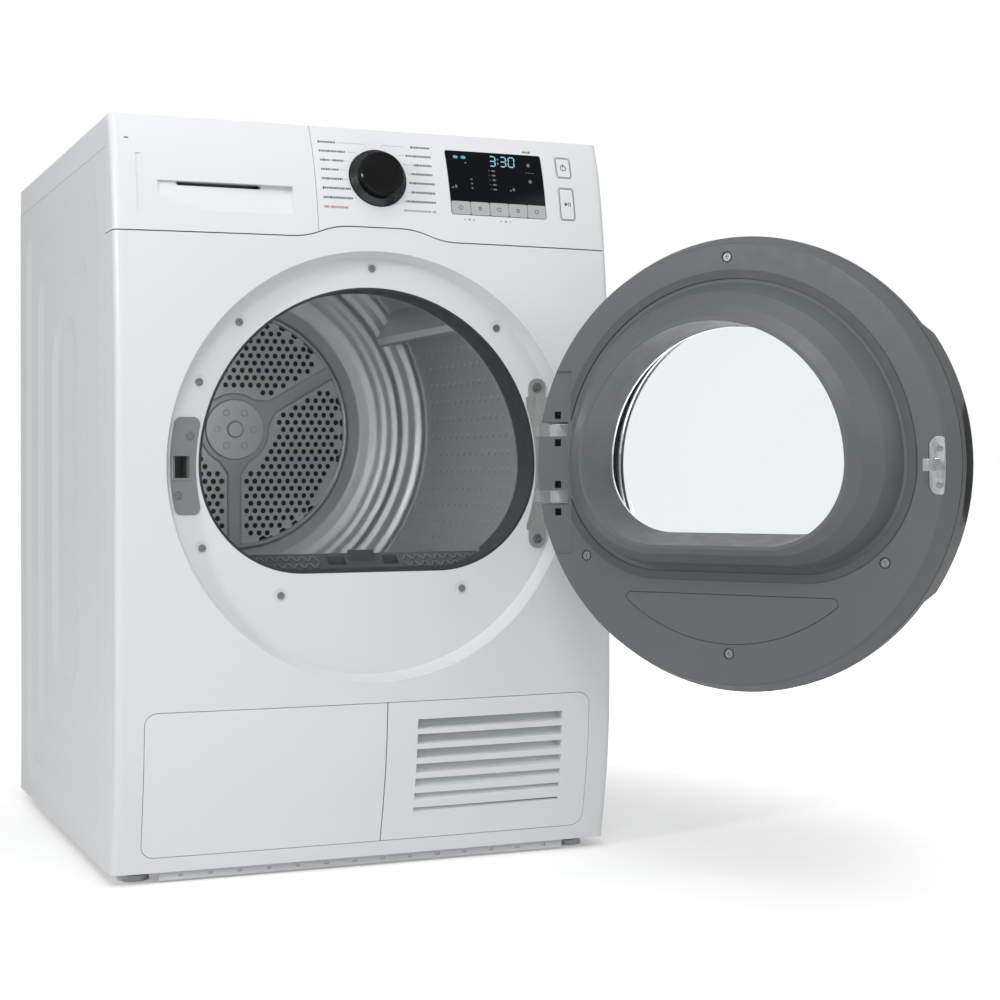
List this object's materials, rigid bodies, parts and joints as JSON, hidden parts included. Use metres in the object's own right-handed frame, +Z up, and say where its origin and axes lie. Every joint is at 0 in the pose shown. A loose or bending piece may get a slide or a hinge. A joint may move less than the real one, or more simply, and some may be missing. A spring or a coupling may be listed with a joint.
{
  "type": "clothes dryer",
  "caption": "Front-loading tumble dryer with a round door open on a side hinge, a spoked drum, a programme knob, a display, a tank drawer and foot covers.",
  "frame": {"origin": "on the floor, middle of the width, under the lower edge of the front panel", "axes": "+X right seen from the front, +Y towards the back, +Z up; the door side faces -Y"},
  "size_m": [0.7919, 1.1156, 0.85],
  "materials": {
    "cabinet_white": "satin",
    "panel_white": "satin",
    "galvanised": "matte",
    "stainless": "brushed",
    "dark_rubber": "matte",
    "felt": "matte",
    "display_black": "gloss",
    "key_grey": "satin",
    "knob_black": "gloss",
    "knob_bevel": "gloss",
    "steel": "satin",
    "hinge_steel": "satin",
    "seal_grey": "matte",
    "board_green": "matte",
    "tank_plastic": "satin",
    "grey_plastic": "matte",
    "foot_grey": "matte",
    "mesh_dark": "matte",
    "filter_plastic": "satin",
    "latch_grey": "satin",
    "door_grey": "satin",
    "shell_grey": "gloss",
    "pane": "clear",
    "motor_metal": "matte",
    "aluminium_fins": "satin",
    "compressor_black": "satin"
  },
  "bodies": {
    "cabinet": {"base_pan": "foot_grey", "cabinet_screws": "steel", "compressor": "compressor_black", "condensate_pump": "grey_plastic", "control_fascia": "panel_white", "cord_gland": "dark_rubber", "display_window": "display_black", "drain_spigot": "grey_plastic", "drive_belt": "dark_rubber", "drive_supports": "steel", "drum_felt": "felt", "fan_housing": "grey_plastic", "feet": "foot_grey", "front_bulkhead": "grey_plastic", "front_panel": "cabinet_white", "heat_exchangers": "aluminium_fins", "hinge_bracket": "hinge_steel", "intake_grille": "panel_white", "interface_board": "board_green", "latch": "latch_grey", "main_board_box": "grey_plastic", "motor_body": "motor_metal", "opening_seal": "dark_rubber", "rear_bulkhead": "galvanised", "rear_panel": "galvanised", "side_panel_left": "cabinet_white", "side_panel_right": "cabinet_white", "tank_tray": "tank_plastic", "top_plate": "panel_white"},
    "door": {"door_inlay": "door_grey", "door_inner": "door_grey", "door_panes": "pane", "door_screws": "steel", "door_seal": "seal_grey", "door_shell": "shell_grey", "latch_hook": "steel", "hinge_block": "steel"},
    "drum": {"drum_cylinder": "stainless", "drum_rear": "stainless", "drum_lifters": "stainless", "hub_disc": "steel"},
    "roller_left": {"roller_left": "dark_rubber"},
    "roller_right": {"roller_right": "dark_rubber"},
    "rotor": {"motor_rotor": "steel", "fan_wheel": "grey_plastic"},
    "idler": {"idler_pulley": "steel"},
    "knob": {"knob_skirt": "knob_bevel", "knob_cap": "knob_black"},
    "power_button": {"power_button": "panel_white"},
    "start_button": {"start_button": "panel_white"},
    "tank_drawer": {"tank_drawer_front": "panel_white", "water_tank": "tank_plastic"},
    "lint_filter": {"filter_frame": "filter_plastic", "filter_mesh": "mesh_dark"},
    "service_cover": {"service_cover": "panel_white"},
    "option_key_1": {"option_key_1": "key_grey"},
    "option_key_2": {"option_key_2": "key_grey"},
    "option_key_3": {"option_key_3": "key_grey"},
    "option_key_4": {"option_key_4": "key_grey"},
    "option_key_5": {"option_key_5": "key_grey"}
  },
  "joints": [
    {"name": "door_hinge", "type": "hinge", "parent": "cabinet", "child": "door", "pos_m": [0.224, -0.074, 0.46], "axis": [0, 0, 1], "range_deg": [-124.5, 10]},
    {"name": "drum_spin", "type": "hinge", "parent": "cabinet", "child": "drum", "pos_m": [0, 0.3, 0.515], "axis": [0, 1, 0], "continuous": true},
    {"name": "roller_left_spin", "type": "hinge", "parent": "cabinet", "child": "roller_left", "pos_m": [-0.1786, 0.064, 0.26003], "axis": [0, 1, 0], "continuous": true},
    {"name": "roller_right_spin", "type": "hinge", "parent": "cabinet", "child": "roller_right", "pos_m": [0.1786, 0.064, 0.26003], "axis": [0, 1, 0], "continuous": true},
    {"name": "rotor_spin", "type": "hinge", "parent": "cabinet", "child": "rotor", "pos_m": [0.15, 0.4, 0.13], "axis": [0, 1, 0], "continuous": true},
    {"name": "idler_spin", "type": "hinge", "parent": "cabinet", "child": "idler", "pos_m": [0.07387, 0.3, 0.13391], "axis": [0, 1, 0], "continuous": true},
    {"name": "knob_turn", "type": "hinge", "parent": "cabinet", "child": "knob", "pos_m": [0.0075, -0.0128, 0.79], "axis": [0, -0.9703, 0.2419], "continuous": true},
    {"name": "tank_slide", "type": "slide", "parent": "cabinet", "child": "tank_drawer", "axis": [0, -1, 0], "range_m": [0, 0.38]},
    {"name": "filter_slide", "type": "slide", "parent": "cabinet", "child": "lint_filter", "axis": [0, 0, 1], "range_m": [0, 0.15]},
    {"name": "service_cover_hinge", "type": "hinge", "parent": "cabinet", "child": "service_cover", "pos_m": [-0.129, -0.0095, 0.029], "axis": [1, 0, 0], "range_deg": [0, 80]},
    {"name": "power_button_press", "type": "slide", "parent": "cabinet", "child": "power_button", "axis": [0, 1, 0], "range_m": [0, 0.0012], "stiffness_N_per_m": 800},
    {"name": "start_button_press", "type": "slide", "parent": "cabinet", "child": "start_button", "axis": [0, 1, 0], "range_m": [0, 0.0012], "stiffness_N_per_m": 800},
    {"name": "option_key_1_press", "type": "slide", "parent": "cabinet", "child": "option_key_1", "axis": [0, 1, 0], "range_m": [0, 0.0012], "stiffness_N_per_m": 800},
    {"name": "option_key_2_press", "type": "slide", "parent": "cabinet", "child": "option_key_2", "axis": [0, 1, 0], "range_m": [0, 0.0012], "stiffness_N_per_m": 800},
    {"name": "option_key_3_press", "type": "slide", "parent": "cabinet", "child": "option_key_3", "axis": [0, 1, 0], "range_m": [0, 0.0012], "stiffness_N_per_m": 800},
    {"name": "option_key_4_press", "type": "slide", "parent": "cabinet", "child": "option_key_4", "axis": [0, 1, 0], "range_m": [0, 0.0012], "stiffness_N_per_m": 800},
    {"name": "option_key_5_press", "type": "slide", "parent": "cabinet", "child": "option_key_5", "axis": [0, 1, 0], "range_m": [0, 0.0012], "stiffness_N_per_m": 800}
  ],
  "couplings": [
    {"joint": "roller_left_spin", "follows": "drum_spin", "ratio": -9.3667},
    {"joint": "roller_right_spin", "follows": "drum_spin", "ratio": -9.3667},
    {"joint": "rotor_spin", "follows": "drum_spin", "ratio": 23.417},
    {"joint": "idler_spin", "follows": "drum_spin", "ratio": -15.722}
  ]
}
